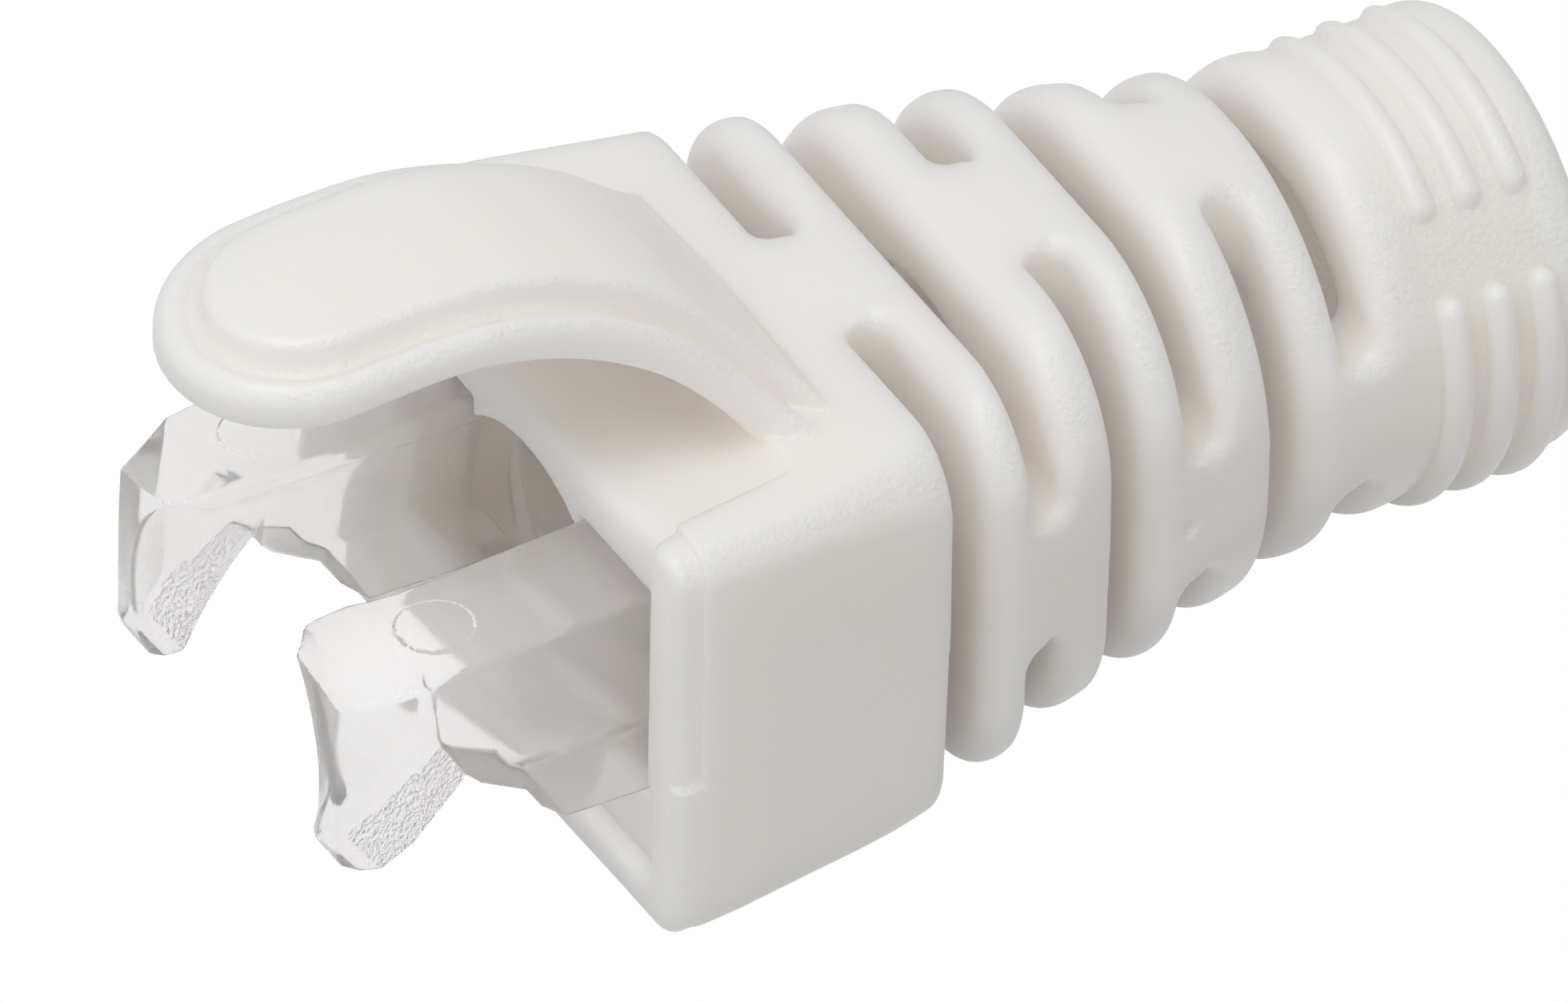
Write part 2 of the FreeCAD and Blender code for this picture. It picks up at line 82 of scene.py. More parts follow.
# ---------------------------------------------------------------------------------------------
# Fields
# ---------------------------------------------------------------------------------------------
def smooth_curve(x, knots):
    """A smooth curve through (x, value) knots, level past both ends (cubic Hermite)."""
    places, values = np.array(knots, float).T
    slopes = np.gradient(values, places)
    slopes[0] = slopes[-1] = 0.0
    x = np.clip(x, places[0], places[-1])
    i = np.clip(np.searchsorted(places, x) - 1, 0, len(places) - 2)
    span = places[i + 1] - places[i]
    t = (x - places[i]) / span
    return ((1 + 2 * t) * (1 - t) ** 2 * values[i] + t * (1 - t) ** 2 * span * slopes[i]
            + t * t * (3 - 2 * t) * values[i + 1] - t * t * (1 - t) * span * slopes[i + 1])


def ease(x, start, end):
    """0 before start, 1 after end, smooth between."""
    t = np.clip((x - start) / (end - start), 0, 1)
    return t * t * (3 - 2 * t)


def meet(a, b, radius):
    """Where two fields overlap, with the edge between them rounded to a radius."""
    corner = np.hypot(np.maximum(a + radius, 0), np.maximum(b + radius, 0))
    return np.minimum(-radius, np.maximum(a, b)) + corner


def join(a, b, radius):
    """Two fields together, with a fillet of a radius between them."""
    return -meet(-a, -b, radius)


def cut(a, b, radius):
    """The first field without the second, with the edge rounded."""
    return meet(a, -b, radius)


def round_box(u, v, half_u, half_v, radius):
    """Distance to a rectangle with round corners, in its plane."""
    a = np.abs(u) - half_u + radius
    b = np.abs(v) - half_v + radius
    return np.hypot(np.maximum(a, 0), np.maximum(b, 0)) + np.minimum(np.maximum(a, b), 0) - radius


def slab(x, middle, half):
    """Distance to a slab across the cable."""
    return np.abs(x - middle) - half


def from_back(*pairs):
    """Knots measured from the back of the block, placed along the cable."""
    return [(BLOCK_BACK + place, value) for place, value in pairs]


# The outside along the cable: half its width, its top, its bottom and the radius of its corners
HALF_WIDTH = from_back(
    (-6.75, 7.5), (0, 6.92), (1.56, 6.85), (3.68, 6.3), (5.8, 5.88), (7.92, 5.5), (10.04, 5.2),
    (12.4, 4.95), (17, 4.88))
TOP = from_back(
    (-6.75, 4.68), (0, 4.62), (1.56, 4.75), (3.68, 4.95), (5.8, 5.1), (7.92, 5.15), (10.04, 5.05),
    (12.4, 4.92), (17, 4.88))
BOTTOM = from_back(
    (-6.75, -5.5), (-3.4, -5.38), (-0.1, -5.38), (1.1, -5.2), (3.68, -5.15), (5.8, -5.2),
    (10.04, -5.2), (12.4, -4.98), (17, -4.88))
CORNER = from_back(
    (-6.75, 0.9), (0, 1.7), (1.56, 2.4), (3.68, 3.1), (5.8, 3.5), (7.92, 4.4), (10.04, 4.9),
    (12.4, 4.92), (17, 4.88))

# The mould's parting line on the sides: its height at the block's back, its slope and its step
PARTING_HEIGHT = -0.5
PARTING_SLOPE = 0.13
PARTING_STEP = 0.02


def outer_form(x, y, z):
    """The outside of the block, the rings and the collar, without their ends, slots and ribs.

    Below the parting line the sides stand in a little.
    """
    half = smooth_curve(x, HALF_WIDTH)
    top = smooth_curve(x, TOP)
    bottom = smooth_curve(x, BOTTOM)
    tall = (top - bottom) / 2
    corner = np.minimum(smooth_curve(x, CORNER), np.minimum(half, tall) - 0.01)
    form = round_box(y, z - (top + bottom) / 2, half, tall, corner)
    parting = PARTING_HEIGHT - PARTING_SLOPE * (BLOCK_BACK - x)
    below = ease(-z, -parting - 0.03, -parting + 0.03)
    return form + PARTING_STEP * below * ease(y, 3.0, 4.5)


# The collar's grip ribs: beads bent along arcs round the cable's axis
RIBS = 3
FIRST_RIB = END - 1.42
RIB_PITCH = 1.09
RIB_RADIUS = 0.31
UPPER_REACH = 4.87
UPPER_ARC = (math.radians(50), math.radians(125))
UPPER_SINK = 0.17
SINKING_ARC = (math.radians(60), math.radians(120))
LOWER_REACH = 4.9
LOWER_END = math.radians(23)


def bead(x, side, z, angle, reach):
    """A round bead at a reach from the cable's axis, at an angle up from the side."""
    out = side - reach * np.cos(angle)
    up = z - reach * np.sin(angle)
    return np.sqrt(x ** 2 + out ** 2 + up ** 2) - RIB_RADIUS


def rib_field(x, y, z):
    """One grip rib at x = 0: a bead over the top and another under the bottom.

    The upper bead sinks into the collar towards the far side.
    """
    angle = np.clip(np.arctan2(z, -y), *UPPER_ARC)
    upper = bead(x, -y, z, angle, UPPER_REACH - UPPER_SINK * ease(angle, *SINKING_ARC))
    side = np.abs(y)
    angle = np.minimum(np.arctan2(z, side), LOWER_END)
    return np.minimum(upper, bead(x, side, z, angle, LOWER_REACH))


# The latch guard's rim: its outline seen from above, with a round tip, and its upper and lower face
RIM_RADIUS = 3.1
RIM_PLAN = from_back(
    (-11.65, 3.1), (-10.75, 3.1), (-8.7, 3.1), (-6.3, 3.2), (-4.9, 3.4), (-3.8, 3.75), (-2.8, 4.3),
    (-2.1, 4.85), (-1.6, 5.25))
RIM_TOP = from_back(
    (-14.8, 8.3), (-13.4, 8.5), (-12, 8.72), (-10, 8.87), (-8.3, 8.82), (-6.3, 8.28), (-5.2, 7.76),
    (-3.9, 6.82), (-3.1, 6.05), (-1.75, 4.72), (-0.9, 3.85))
RIM_UNDER = from_back(
    (-14.8, 7.25), (-13.2, 7.4), (-11.3, 7.68), (-8.8, 7.7), (-7.1, 7.3), (-5.7, 6.7), (-4.4, 5.85),
    (-3.45, 4.9), (-2.55, 3.7), (-2.0, 3.0))
RIM_EDGE = 0.5
UNDER_EDGE = 0.24
CROWN = 0.012
GUARD_END = BLOCK_BACK - 0.9

# Its thumb pad, and the cove round the pad's foot
PAD_TIP = GUARD_TIP + 1.0
PAD_RADIUS = 2.15
PAD_PLAN = from_back(
    (-11.7, 2.15), (-9.0, 2.2), (-7.3, 2.25), (-5.6, 2.35), (-4.0, 2.6), (-2.6, 3.2), (-1.6, 3.9),
    (-1.0, 4.4))
PAD_LIFT = 0.4
PAD_EDGE = 0.24
PAD_FILLET = 0.12
COVE = 0.32
COVE_PLACE = 0.2
COVE_WIDTH = 0.26

# The outlines' sides slope, so a distance straight across from them counts a little less
PLAN_LEAN = 0.95


def guard_plan(x, y, knots, radius, tip):
    """Distance from an outline seen from above: a round tip that widens to the root."""
    centre = tip + radius
    side = y - smooth_curve(x, knots)
    nose = np.hypot(x - centre, y) - radius
    return np.where(x < centre, nose, side) * PLAN_LEAN


def guard_field(x, y, z):
    """The latch guard: a curved tongue with round edges, and a thumb pad with a cove round its foot."""
    top = smooth_curve(x, RIM_TOP)
    under = smooth_curve(x, RIM_UNDER)
    slope = (smooth_curve(x + 0.1, RIM_TOP) - smooth_curve(x - 0.1, RIM_TOP)) / 0.2
    lean = 1 / np.hypot(1, slope)
    height = (z - top + CROWN * y * y) * lean
    depth = (under - z) * lean
    rim_edge = guard_plan(x, y, RIM_PLAN, RIM_RADIUS, GUARD_TIP)
    pad_edge = guard_plan(x, y, PAD_PLAN, PAD_RADIUS, PAD_TIP)
    cove = COVE * np.exp(-((pad_edge - COVE_PLACE) / COVE_WIDTH) ** 2)
    rim = meet(meet(height + cove, rim_edge, RIM_EDGE), depth, UNDER_EDGE)
    pad = meet(np.maximum(height - PAD_LIFT, -height - 0.6), pad_edge, PAD_EDGE)
    return np.maximum(join(rim, pad, PAD_FILLET), x - GUARD_END)


# The mouth, open at the top: half its width at its front, its draft, how much thicker its wall is above
# its foot, and its floor, middle and lower corners
MOUTH_HALF = 6.35
MOUTH_DRAFT = 0.18
WALL_STEP = 0.25
MOUTH_FLOOR = -4.5
MOUTH_MIDDLE = 4.0
MOUTH_CORNER = 0.7

# The channel for the latch in the block's top
CHANNEL_FLOOR = 3.38
CHANNEL_SLOPE = 0.1
CHANNEL_DISH = 0.4
DISH_HALF = 4.6
CHANNEL_REAR = BLOCK_BACK - 2.75
REAR_RADIUS = 0.9

# The bulkhead's window: the cable's hole, with a slot each side for an arm of the clamp
HOLE_RADIUS = 3.6
ARM_SLOT_ACROSS = 3.85
ARM_SLOT_DROP = 0.3
ARM_SLOT_HALF = (1.62, 2.66)
BULKHEAD_THICKNESS = 1.2

# The clamp's room behind the bulkhead, and the groove in the room's walls that holds its frame
ROOM_DROP = 0.7
ROOM_MIDDLE = BLOCK_BACK - 3.4
ROOM_HALF = (5.47, 3.1)
GROOVE_HALF = (5.85, 3.2)
ROOM_CORNER = 0.6
BORE_START = BLOCK_BACK - 2.0
INNER_EDGE = 0.1


def block_hollow(x, y, z, body):
    """Cut the mouth, the latch channel, the cable hole, the clamp's room and the bore."""
    inner = MOUTH_HALF - WALL_STEP * ease(z, -2.4, -1.7) - MOUTH_DRAFT * (x - MOUTH)
    mouth = round_box(y, z - MOUTH_MIDDLE, inner, MOUTH_MIDDLE - MOUTH_FLOOR, MOUTH_CORNER)
    body = cut(body, np.maximum(mouth, x - BULKHEAD), 0.22)
    floor = CHANNEL_FLOOR + CHANNEL_DISH * (y / DISH_HALF) ** 2 + CHANNEL_SLOPE * (x - BULKHEAD)
    channel = meet(floor - z, x - CHANNEL_REAR, REAR_RADIUS)
    channel = meet(channel, y - inner - 0.05, 0.12)
    body = cut(body, channel, 0.42 - 0.3 * ease(z, 4.0, 4.3))
    hole = np.hypot(y, z + ARCH_DROP) - HOLE_RADIUS
    arms = round_box(y - ARM_SLOT_ACROSS, z + ARM_SLOT_DROP, *ARM_SLOT_HALF, 0.12)
    window = np.maximum(np.minimum(hole, arms), x - (BULKHEAD + BULKHEAD_THICKNESS))
    body = cut(body, window, INNER_EDGE)
    room = np.maximum(round_box(y, z + ROOM_DROP, *ROOM_HALF, ROOM_CORNER), slab(x, ROOM_MIDDLE, 2.2))
    groove = np.maximum(round_box(y, z + ROOM_DROP, *GROOVE_HALF, ROOM_CORNER), slab(x, SEAT, 0.7))
    body = cut(body, np.minimum(room, groove), INNER_EDGE)
    bore = np.maximum(np.hypot(y, z) - BORE, BORE_START - x)
    return cut(body, bore, 0.3)


# The stepped lip round the mouth: its length, and how far it stands in above and below
LIP_LENGTH = 0.68
LIP_STEP = 0.2
LOW_LIP_STEP = 0.03

# Where the ribs are, the collar stands in by this much
GRIP_INSET = 0.08

# The neck's gaps. The even ones have webs at the top and bottom, a little to the near side. The others have
# webs at the sides, each pair at its own height.
GAP = 1.0
PITCH = 2.12
GAPS = 6
SLOT_LEAN = 0.03
TOP_WEB_BACK = 0.15
TOP_WEB_SHIFT = 0.25
TOP_WEB_HALF = 1.67
SIDE_WEB_DROP = {1: -0.05, 3: 0.35, 5: 0.14}
SIDE_WEB_HALF = 1.55

# The mould's two gate marks, on the near side: each one's place behind the block and its height, and for
# both the place across, the radius and the edge
GATE_MARKS = ((6.55, -0.42), (7.2, -0.16))
GATE_ACROSS = -5.86
GATE_RADIUS = 0.3
GATE_EDGE = 0.04


def cut_slot(body, x, y, z, number):
    """Cut one of the neck's gaps. Its edges are rounder towards the cable entry and away from its webs."""
    middle = BLOCK_BACK + PITCH * number + GAP / 2 + SLOT_LEAN * np.minimum(z, 0)
    if number % 2 == 0:
        middle = middle + TOP_WEB_BACK
        across = np.abs(y + TOP_WEB_SHIFT) - TOP_WEB_HALF
    else:
        across = np.abs(z + SIDE_WEB_DROP[number]) - SIDE_WEB_HALF
    slot = np.hypot(x - middle, np.maximum(GAP / 2 - across, 0)) - GAP / 2
    rounder = 0.36 + 0.34 * ease(across, 0.2, 2.0)
    return cut(body, slot, 0.12 + rounder * ease(x, middle - 0.1, middle + 0.4))


def boot_field(x, y, z):
    """The whole boot."""
    side = np.abs(y)
    form = outer_form(x, side, z)
    grip = GRIP_INSET * ease(x, -4.4, -3.9) * ease(-x, 0.9, 1.2)
    body = meet(form + grip, MOUTH + LIP_LENGTH - x, 0.08)
    inset = LIP_STEP - (LIP_STEP - LOW_LIP_STEP) * ease(-z, 1.25, 1.45)
    lip = np.maximum(meet(form + inset, MOUTH - x, 0.34), x - (MOUTH + 2))
    body = join(body, lip, 0.07)
    for rib in range(RIBS):
        body = join(body, rib_field(x - (FIRST_RIB - RIB_PITCH * rib), y, z), 0.07)
    body = meet(body, x - END, 0.7)
    for number in range(GAPS):
        body = cut_slot(body, x, y, z, number)
    for place, height in GATE_MARKS:
        away = (x - BLOCK_BACK - place) ** 2 + (y - GATE_ACROSS) ** 2 + (z - height) ** 2
        body = cut(body, np.sqrt(away) - GATE_RADIUS, GATE_EDGE)
    body = block_hollow(x, side, z, body)
    return join(body, guard_field(x, side, z), 0.16)


def polygon_distance(u, v, corners):
    """Distance to a polygon in its plane, negative inside."""
    u, v = np.broadcast_arrays(u, v)
    best = np.full(u.shape, np.inf)
    inside = np.zeros(u.shape, bool)
    for (u0, v0), (u1, v1) in zip(corners, corners[1:] + corners[:1]):
        du, dv = u1 - u0, v1 - v0
        t = np.clip(((u - u0) * du + (v - v0) * dv) / (du * du + dv * dv), 0, 1)
        best = np.minimum(best, np.hypot(u - u0 - t * du, v - v0 - t * dv))
        if dv:
            inside ^= ((v0 > v) != (v1 > v)) & (u < u0 + (v - v0) * du / dv)
    return np.where(inside, -best, best)


# The clamp's arms: their outline from the side, and where they start to narrow towards their tips
ARM_SIDE = from_back(
    (-13.32, 1.5), (-13.36, 0.5), (-13.34, -2.3), (-13.15, -2.75), (-12.8, -2.88), (-12.4, -2.85),
    (-10.55, -0.85), (-10.2, -1.2), (-9.1, -1.8), (-8.7, -2.4), (-8.15, -2.85), (-3.35, -2.85),
    (-3.35, 2.3), (-6.0, 2.3), (-11.8, 1.9))
LEAD_IN = BLOCK_BACK - 11.8
LEAD_IN_SLOPE = 0.47
ARM_OUTER = 5.35
ARM_INNER = 2.3
ARCH_RADIUS = 3.5
TRUMPET = 0.42
TIP_TILT = 0.16

# The hooks' slanted undersides: a point on them, measured from the block's back, and the way they face
HOOK_PLACE = -10.55
HOOK_HEIGHT = -0.85
HOOK_UP = 0.679
HOOK_BACK = 0.734
HOOK_END = BLOCK_BACK - 10.5

# The round ejector mark on each arm's top: place from the block's back, place across, radius and height
MARK_PLACE = -10.5
MARK_ACROSS = 3.75
MARK_RADIUS = 0.83
MARK_HEIGHT = 0.05

# The clamp's frame in the block's groove
FRAME_HALF = (5.75, 3.1)
FRAME_TOP = 2.3


def hook_depth(x, z):
    """Distance up from the hooks' slanted undersides."""
    return (z - HOOK_HEIGHT) * HOOK_UP - (x - BLOCK_BACK - HOOK_PLACE) * HOOK_BACK


def clamp_field(x, y, z):
    """The clear clamp: two hooked arms round the cable's channel, and the plain frame that holds them.

    The arms are thick outside and hollowed inside by the cable's channel, which opens out like a
    trumpet at the tips. They narrow at the tips, outside as well, and the hooks' inner edges are
    bevelled. The tips' tops slope down a little towards the outside.
    """
    y = np.abs(y)
    tip = ease(-x, -LEAD_IN - 1.4, -LEAD_IN + 1.0)
    tilt = TIP_TILT * (y - 4.4) * ease(z, 0.2, 1.2) * tip
    side = polygon_distance(x, z + tilt, ARM_SIDE)
    outer = ARM_OUTER - LEAD_IN_SLOPE * np.maximum(LEAD_IN - x, 0)
    arm = meet(side, (y - outer) * 0.9, 0.12)
    arm = meet(arm, ARM_INNER - y, 0.15)
    opening = TRUMPET * ease(-x, -LEAD_IN + 0.4, -LEAD_IN + 1.6)
    channel = np.hypot(y, z + ARCH_DROP) - ARCH_RADIUS - opening
    arm = cut(arm, channel, 0.1)
    bevel = (1 - hook_depth(x, z) / 0.6 - channel / 0.32) * 0.28
    arm = meet(arm, np.minimum(bevel, HOOK_END - x), 0.05)
    mark = np.hypot(x - BLOCK_BACK - MARK_PLACE, y - MARK_ACROSS) - MARK_RADIUS
    mark = np.maximum(mark, np.maximum(side - MARK_HEIGHT, 1.2 - z))
    arm = join(arm, mark, 0.06)
    plate = meet(slab(x, SEAT, 0.6), round_box(y, z + ROOM_DROP, *FRAME_HALF, 0.5), 0.1)
    plate = cut(plate, np.hypot(y, z) - BORE, 0.1)
    plate = np.maximum(plate, z - FRAME_TOP)
    return join(arm, plate, 0.1)


# ---------------------------------------------------------------------------------------------
# Meshes
# ---------------------------------------------------------------------------------------------
def gradient(field, points, step=0.015):
    """The field's value and gradient at points."""
    x, y, z = points.T
    value = field(x, y, z)
    slopes = [field(x + step, y, z) - field(x - step, y, z),
              field(x, y + step, z) - field(x, y - step, z),
              field(x, y, z + step) - field(x, y, z - step)]
    return value, np.stack(slopes, axis=1) / (2 * step)


def surface_net(field, low, high, step):
    """Vertices and quads of the field's zero surface: one vertex in each grid cell it crosses."""
    axes = [np.arange(a, b + step, step) for a, b in zip(low, high)]
    grid = field(axes[0][:, None, None], axes[1][None, :, None], axes[2][None, None, :])
    inside = grid < 0
    corners = [(i, j, k) for i in (0, 1) for j in (0, 1) for k in (0, 1)]
    shape = [n - 1 for n in grid.shape]
    count = np.zeros(shape, np.int8)
    for i, j, k in corners:
        count += inside[i:i + shape[0], j:j + shape[1], k:k + shape[2]]
    cells = np.argwhere((count > 0) & (count < 8))
    values = np.stack([grid[tuple((cells + c).T)] for c in corners], axis=1)
    total = np.zeros((len(cells), 3))
    crossings = np.zeros(len(cells))
    for a, ca in enumerate(corners):
        for b, cb in enumerate(corners):
            if a < b and sum(abs(p - q) for p, q in zip(ca, cb)) == 1:
                va, vb = values[:, a], values[:, b]
                crossed = (va < 0) != (vb < 0)
                t = np.where(crossed, va / np.where(crossed, va - vb, 1), 0)[:, None]
                total += np.where(crossed[:, None], np.array(ca) * (1 - t) + np.array(cb) * t, 0)
                crossings += crossed
    points = (cells + total / crossings[:, None]) * step + [axes[0][0], axes[1][0], axes[2][0]]
    number = np.full(shape, -1, np.int32)
    number[tuple(cells.T)] = np.arange(len(cells))
    unit = np.eye(3, dtype=int)
    quads = []
    for axis in range(3):
        u = unit[(axis + 1) % 3]
        v = unit[(axis + 2) % 3]
        before = inside[tuple(slice(0, -1) if a == axis else slice(None) for a in range(3))]
        after = inside[tuple(slice(1, None) if a == axis else slice(None) for a in range(3))]
        edges = np.argwhere(before != after)
        ring = np.stack([number[tuple((edges - d).T)] for d in (0 * u, u, u + v, v)], axis=1)
        outward = before[tuple(edges.T)]
        quads.append(np.where(outward[:, None], ring, ring[:, ::-1]))
    return points, np.concatenate(quads)


def fill_mesh(mesh, points, faces):
    """Put points in millimetres and equal-sided faces into a mesh, in metres."""
    sides = faces.shape[1]
    mesh.vertices.add(len(points))
    mesh.vertices.foreach_set("co", (points * MM).astype(np.float32).ravel())
    mesh.loops.add(faces.size)
    mesh.loops.foreach_set("vertex_index", faces.astype(np.int32).ravel())
    mesh.polygons.add(len(faces))
    mesh.polygons.foreach_set("loop_start", np.arange(0, faces.size, sides, dtype=np.int32))
    mesh.update(calc_edges=True)
    mesh.validate()


def settle(field, points, step):
    """Move points onto the field's surface, in place, by less than half a grid step at a time."""
    for _ in range(3):
        value, slope = gradient(field, points)
        shift = -slope * (value / np.maximum((slope ** 2).sum(1), 0.2))[:, None]
        far = np.linalg.norm(shift, axis=1, keepdims=True)
        points += shift * np.minimum(1, 0.4 * step / np.maximum(far, 1e-9))


def thin_mesh(piece, keep):
    """Thin a piece's mesh to a share of its faces."""
    dense = piece.data
    modifier = piece.modifiers.new("thin", "DECIMATE")
    modifier.ratio = keep
    graph = bpy.context.evaluated_depsgraph_get()
    piece.data = bpy.data.meshes.new_from_object(piece.evaluated_get(graph))
    piece.modifiers.clear()
    bpy.data.meshes.remove(dense)
    piece.data.name = piece.name


def moulding(name, field, low, high, step, keep, worn):
    """A closed mesh of a field, thinned to a share of its faces, with the field's own normals.

    The points also carry how coarse the finish is there, 0 to 1, worked out from their normals.
    """
    points, quads = surface_net(field, low, high, step)
    settle(field, points, step)
    piece = bpy.data.objects.new(name, bpy.data.meshes.new(name))
    fill_mesh(piece.data, points, quads)
    bpy.context.scene.collection.objects.link(piece)
    thin_mesh(piece, keep)
    mesh = piece.data
    mesh.polygons.foreach_set("use_smooth", np.ones(len(mesh.polygons), bool))
    places = np.empty(len(mesh.vertices) * 3, np.float32)
    mesh.vertices.foreach_get("co", places)
    _, normals = gradient(field, places.reshape(-1, 3).astype(float) / MM)
    normals /= np.maximum(np.linalg.norm(normals, axis=1, keepdims=True), 1e-9)
    mesh.normals_split_custom_set_from_vertices(normals.tolist())
    coarse = mesh.attributes.new("coarse", "FLOAT", "POINT")
    coarse.data.foreach_set("value", worn(*normals.T).astype(np.float32))
    return piece


# ---------------------------------------------------------------------------------------------
# Materials
# ---------------------------------------------------------------------------------------------
VINYL = {
    "Base Color": (0.955, 0.897, 0.848, 1),
    "Roughness": 0.4,
    "Subsurface Weight": 1.0,
    "Subsurface Radius": (1.0, 0.9, 0.8),
    "Subsurface Scale": 0.0018,
}
POLYCARBONATE = {
    "Base Color": (0.985, 0.972, 0.96, 1),
    "Subsurface Weight": 1.0,
    "Subsurface Radius": (1.0, 1.0, 1.0),
    "Subsurface Scale": 0.002,
    "IOR": 1.13,
}

# The polycarbonate's values that differ where it is frosted: where smooth, and where frosted
FROSTING = {"Roughness": (0.16, 0.35), "Transmission Weight": (0.76, 0.88)}

# The light that the polycarbonate lets straight through
THROUGH_LIGHT = (0.97, 0.965, 0.96, 1)
WHITE = (1, 1, 1, 1)
FLOOR_GREY = (0.75, 0.75, 0.75, 1)

# The world's strength as a light, and where it is seen
WORLD_LIGHT = 0.435
WORLD_SEEN = 1.0


def shoulder(nx, ny, nz):
    """1 where the surface leans half way between up and sideways, 0 where it is level or upright."""
    return ease(2 * np.abs(ny) * nz, 0.5, 0.95)


def slanted_under(nx, ny, nz):
    """1 on the hooks' slanted undersides, 0 elsewhere."""
    return ease(-2 * nx * nz, 0.5, 0.9)


def grain(tree, shader, spacing, share, lift):
    """Fine bumps that show where the finish is coarse. Returns the socket of that coarseness.

    The bumps' spacing and lift are in millimetres, and share is the least part of them left elsewhere.
    """
    place = tree.nodes.new("ShaderNodeTexCoord")
    noise = tree.nodes.new("ShaderNodeTexNoise")
    noise.inputs["Scale"].default_value = 1 / (spacing * MM)
    noise.inputs["Detail"].default_value = 2
    coarse = tree.nodes.new("ShaderNodeAttribute")
    coarse.attribute_name = "coarse"
    amount = tree.nodes.new("ShaderNodeMapRange")
    amount.inputs["To Min"].default_value = share
    bump = tree.nodes.new("ShaderNodeBump")
    bump.inputs["Distance"].default_value = lift * MM
    tree.links.new(place.outputs["Object"], noise.inputs["Vector"])
    tree.links.new(coarse.outputs["Fac"], amount.inputs["Value"])
    tree.links.new(amount.outputs["Result"], bump.inputs["Strength"])
    tree.links.new(noise.outputs["Fac"], bump.inputs["Height"])
    tree.links.new(bump.outputs["Normal"], shader.inputs["Normal"])
    return coarse.outputs["Fac"]


def plastic(name, values):
    """A new material with its main shader's values set: the material, its node tree and the shader."""
    material = bpy.data.materials.new(name)
    material.use_nodes = True
    tree = material.node_tree
    shader = tree.nodes["Principled BSDF"]
    for socket, value in values.items():
        shader.inputs[socket].default_value = value
    return material, tree, shader


def larger(tree, first, second):
    """The larger of two sockets."""
    node = tree.nodes.new("ShaderNodeMath")
    node.operation = "MAXIMUM"
    tree.links.new(first, node.inputs[0])
    tree.links.new(second, node.inputs[1])
    return node.outputs[0]


def mix_shaders(tree, share, first, second, out):
    """Lead two shaders to an output: the first where the share is 0, the second where it is 1."""
    mix = tree.nodes.new("ShaderNodeMixShader")
    tree.links.new(share, mix.inputs[0])
    tree.links.new(first, mix.inputs[1])
    tree.links.new(second, mix.inputs[2])
    tree.links.new(mix.outputs[0], out.inputs["Surface"])


def boot_material():
    """Soft warm white vinyl: lets a little light through, satin, with a faint spark-eroded grain."""
    material, tree, shader = plastic("soft_white_vinyl", VINYL)
    grain(tree, shader, spacing=0.13, share=0.03, lift=0.1)
    return material


def clamp_material():
    """Clear polycarbonate, a little milky, and frosted white on the hooks' slanted faces.

    Shadow rays and softly bounced light go straight through it, so it casts only a faint shadow.
    """
    material, tree, shader = plastic("clear_polycarbonate", POLYCARBONATE)
    coarse = grain(tree, shader, spacing=0.1, share=0.04, lift=0.12)
    for socket, (smooth, frosted) in FROSTING.items():
        value = tree.nodes.new("ShaderNodeMapRange")
        value.inputs["To Min"].default_value = smooth
        value.inputs["To Max"].default_value = frosted
        tree.links.new(coarse, value.inputs["Value"])
        tree.links.new(value.outputs["Result"], shader.inputs[socket])
    path = tree.nodes.new("ShaderNodeLightPath")
    lit = larger(tree, path.outputs["Is Shadow Ray"], path.outputs["Is Diffuse Ray"])
    clear = tree.nodes.new("ShaderNodeBsdfTransparent")
    clear.inputs["Color"].default_value = THROUGH_LIGHT
    mix_shaders(tree, lit, shader.outputs[0], clear.outputs[0], tree.nodes["Material Output"])
    return material


def seen_directly(tree):
    """1 for what is seen straight, in a reflection or through the clear plastic, 0 for other light."""
    path = tree.nodes.new("ShaderNodeLightPath")
    seen = larger(tree, path.outputs["Is Camera Ray"], path.outputs["Is Transmission Ray"])
    return larger(tree, seen, path.outputs["Is Glossy Ray"])


def floor_material():
    """Plain white, the same white wherever it is seen, and diffuse for all other light."""
    material = bpy.data.materials.new("white_floor")
    material.use_nodes = True
    tree = material.node_tree
    tree.nodes.clear()
    glow = tree.nodes.new("ShaderNodeEmission")
    glow.inputs["Color"].default_value = WHITE
    glow.inputs["Strength"].default_value = 1.0
    plain = tree.nodes.new("ShaderNodeBsdfDiffuse")
    plain.inputs["Color"].default_value = FLOOR_GREY
    out = tree.nodes.new("ShaderNodeOutputMaterial")
    mix_shaders(tree, seen_directly(tree), plain.outputs[0], glow.outputs[0], out)
    return material


# ---------------------------------------------------------------------------------------------
# Stage
# ---------------------------------------------------------------------------------------------
# Half the floor's side, in metres
FLOOR_HALF = 0.6

LAMP_COLOUR = (1.0, 0.998, 1.02)

# The camera's direction and lean in degrees, and the width of its view, the shift of the view's middle
# from the block's back, and its distance in millimetres
AZIMUTH = -29.4
ELEVATION = 36.9
LEAN = 1.5
VIEW_WIDTH = 32.667
VIEW_RIGHT = 0.0033
VIEW_UP = -0.93834
CAMERA_DISTANCE = 300


def add_floor(height):
    """A wide white floor under the boot."""
    mesh = bpy.data.meshes.new("floor")
    corners = [(-FLOOR_HALF, -FLOOR_HALF), (FLOOR_HALF, -FLOOR_HALF), (FLOOR_HALF, FLOOR_HALF),
               (-FLOOR_HALF, FLOOR_HALF)]
    mesh.from_pydata([(x, y, height) for x, y in corners], [], [(0, 1, 2, 3)])
    floor = bpy.data.objects.new("floor", mesh)
    bpy.context.scene.collection.objects.link(floor)
    floor.data.materials.append(floor_material())


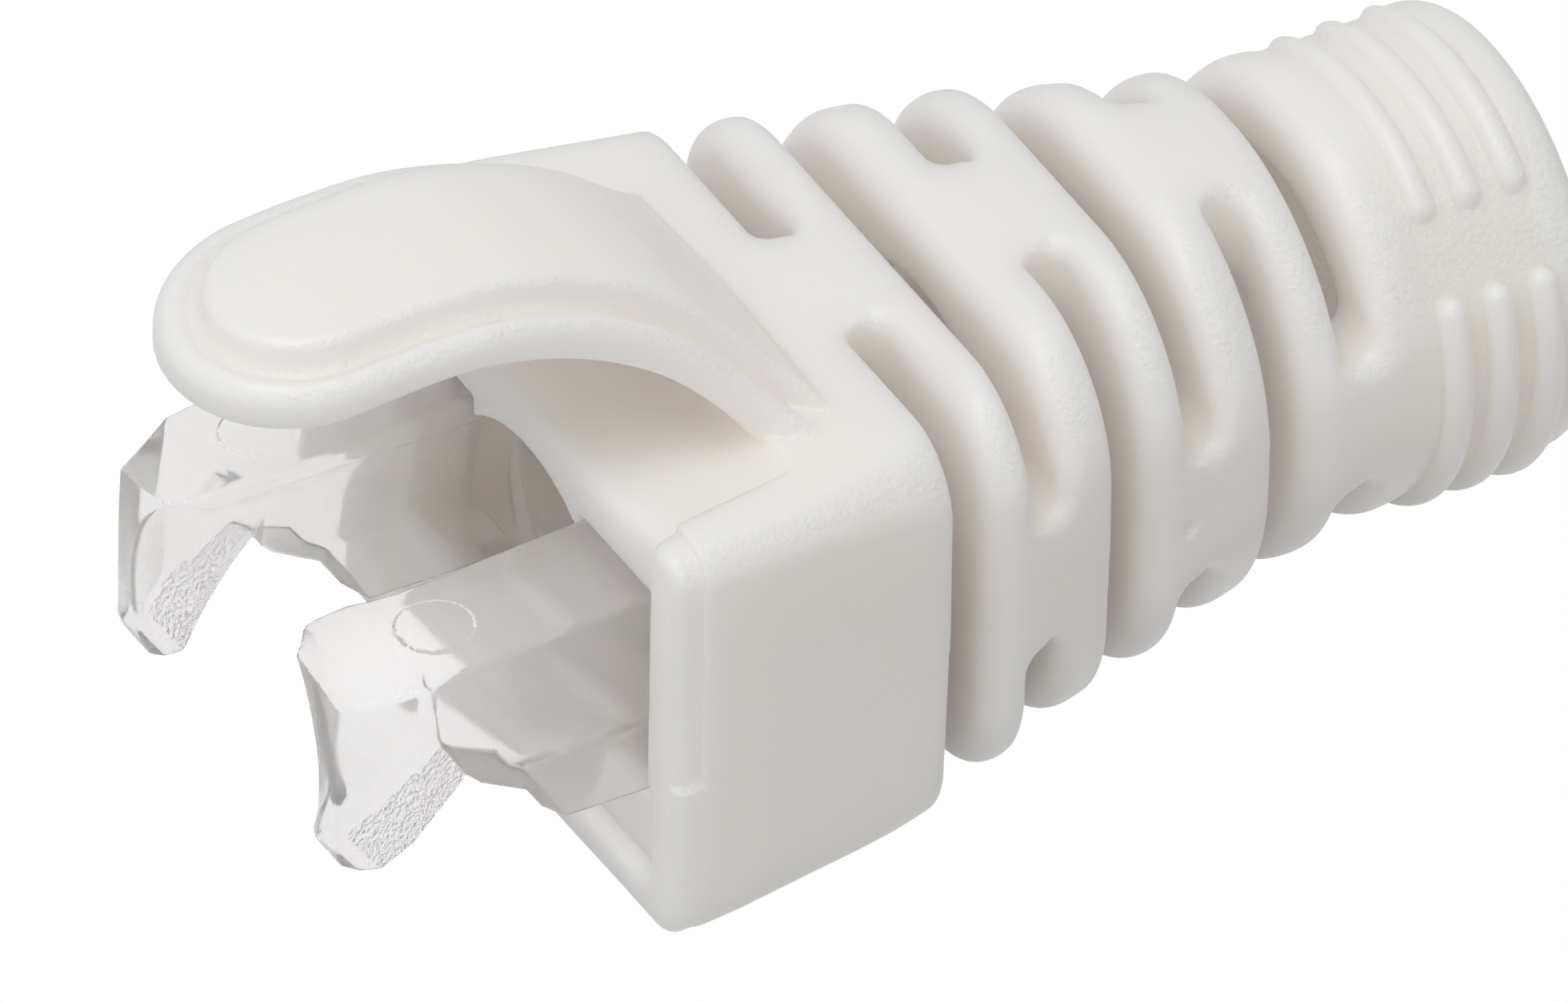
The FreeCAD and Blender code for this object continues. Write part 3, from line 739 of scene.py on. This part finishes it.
def towards(azimuth, elevation):
    """The direction out from the object, at degrees round from its near side and degrees up."""
    a = math.radians(azimuth)
    e = math.radians(elevation)
    return np.array([math.sin(a) * math.cos(e), -math.cos(a) * math.cos(e), math.sin(e)])


def add_light(name, azimuth, elevation, distance, width, power, target):
    """A square soft box, placed by its direction from a target that it looks at."""
    lamp = bpy.data.lights.new(name, "AREA")
    lamp.shape = "SQUARE"
    lamp.size = width
    lamp.energy = power
    lamp.color = LAMP_COLOUR
    light = bpy.data.objects.new(name, lamp)
    bpy.context.scene.collection.objects.link(light)
    away = Vector(distance * towards(azimuth, elevation))
    light.location = Vector(target) + away
    light.rotation_euler = (-away).to_track_quat("-Z", "Y").to_euler()


def add_camera():
    """A long view of the mouth, the near side and the top, cropped at the collar's far edge."""
    a = math.radians(AZIMUTH)
    lean = math.radians(LEAN)
    leaning = np.array([
        [1, 0, 0],
        [0, math.cos(lean), math.sin(lean)],
        [0, -math.sin(lean), math.cos(lean)],
    ])
    right = leaning @ [math.cos(a), math.sin(a), 0]
    back = leaning @ towards(AZIMUTH, ELEVATION)
    up = np.cross(back, right)
    centre = np.array([BLOCK_BACK, 0, 0]) + VIEW_RIGHT * right + VIEW_UP * up
    camera = bpy.data.objects.new("camera", bpy.data.cameras.new("camera"))
    bpy.context.scene.collection.objects.link(camera)
    camera.data.type = "ORTHO"
    camera.data.ortho_scale = VIEW_WIDTH * MM
    camera.data.clip_start = 0.01
    camera.data.clip_end = 5
    place = Matrix.Translation((centre + back * CAMERA_DISTANCE) * MM)
    camera.matrix_world = place @ Matrix(np.stack([right, up, back], axis=1).tolist()).to_4x4()
    bpy.context.scene.camera = camera


def add_world():
    """Even soft light from all round, seen as plain white by the camera and through clear plastic."""
    world = bpy.data.worlds.new("studio")
    world.use_nodes = True
    tree = world.node_tree
    background = tree.nodes["Background"]
    background.inputs["Color"].default_value = WHITE
    strength = tree.nodes.new("ShaderNodeMapRange")
    strength.inputs["To Min"].default_value = WORLD_LIGHT
    strength.inputs["To Max"].default_value = WORLD_SEEN
    tree.links.new(seen_directly(tree), strength.inputs["Value"])
    tree.links.new(strength.outputs["Result"], background.inputs["Strength"])
    bpy.context.scene.world = world


# ---------------------------------------------------------------------------------------------
bpy.context.scene.view_settings.view_transform = "Standard"

boot = moulding("soft_boot", boot_field, low=(-32.0, -7.7, -5.8), high=(0.2, 7.7, 9.5),
                step=0.09, keep=0.29, worn=shoulder)
boot.data.materials.append(boot_material())
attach(boot, "root")
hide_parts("boot")

clamp = moulding("clear_arms", clamp_field, low=(-30.6, -6.1, -4.0), high=(-20.1, 6.1, 2.5),
                 step=0.07, keep=0.6, worn=slanted_under)
clamp.data.materials.append(clamp_material())
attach(clamp, "root")
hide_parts("clear_clamp")

add_floor(start_bounds[0][2])
add_world()
add_light("key", azimuth=-62, elevation=67, distance=0.5, width=0.35, power=1.22,
          target=(-0.016, 0, 0))
add_camera()
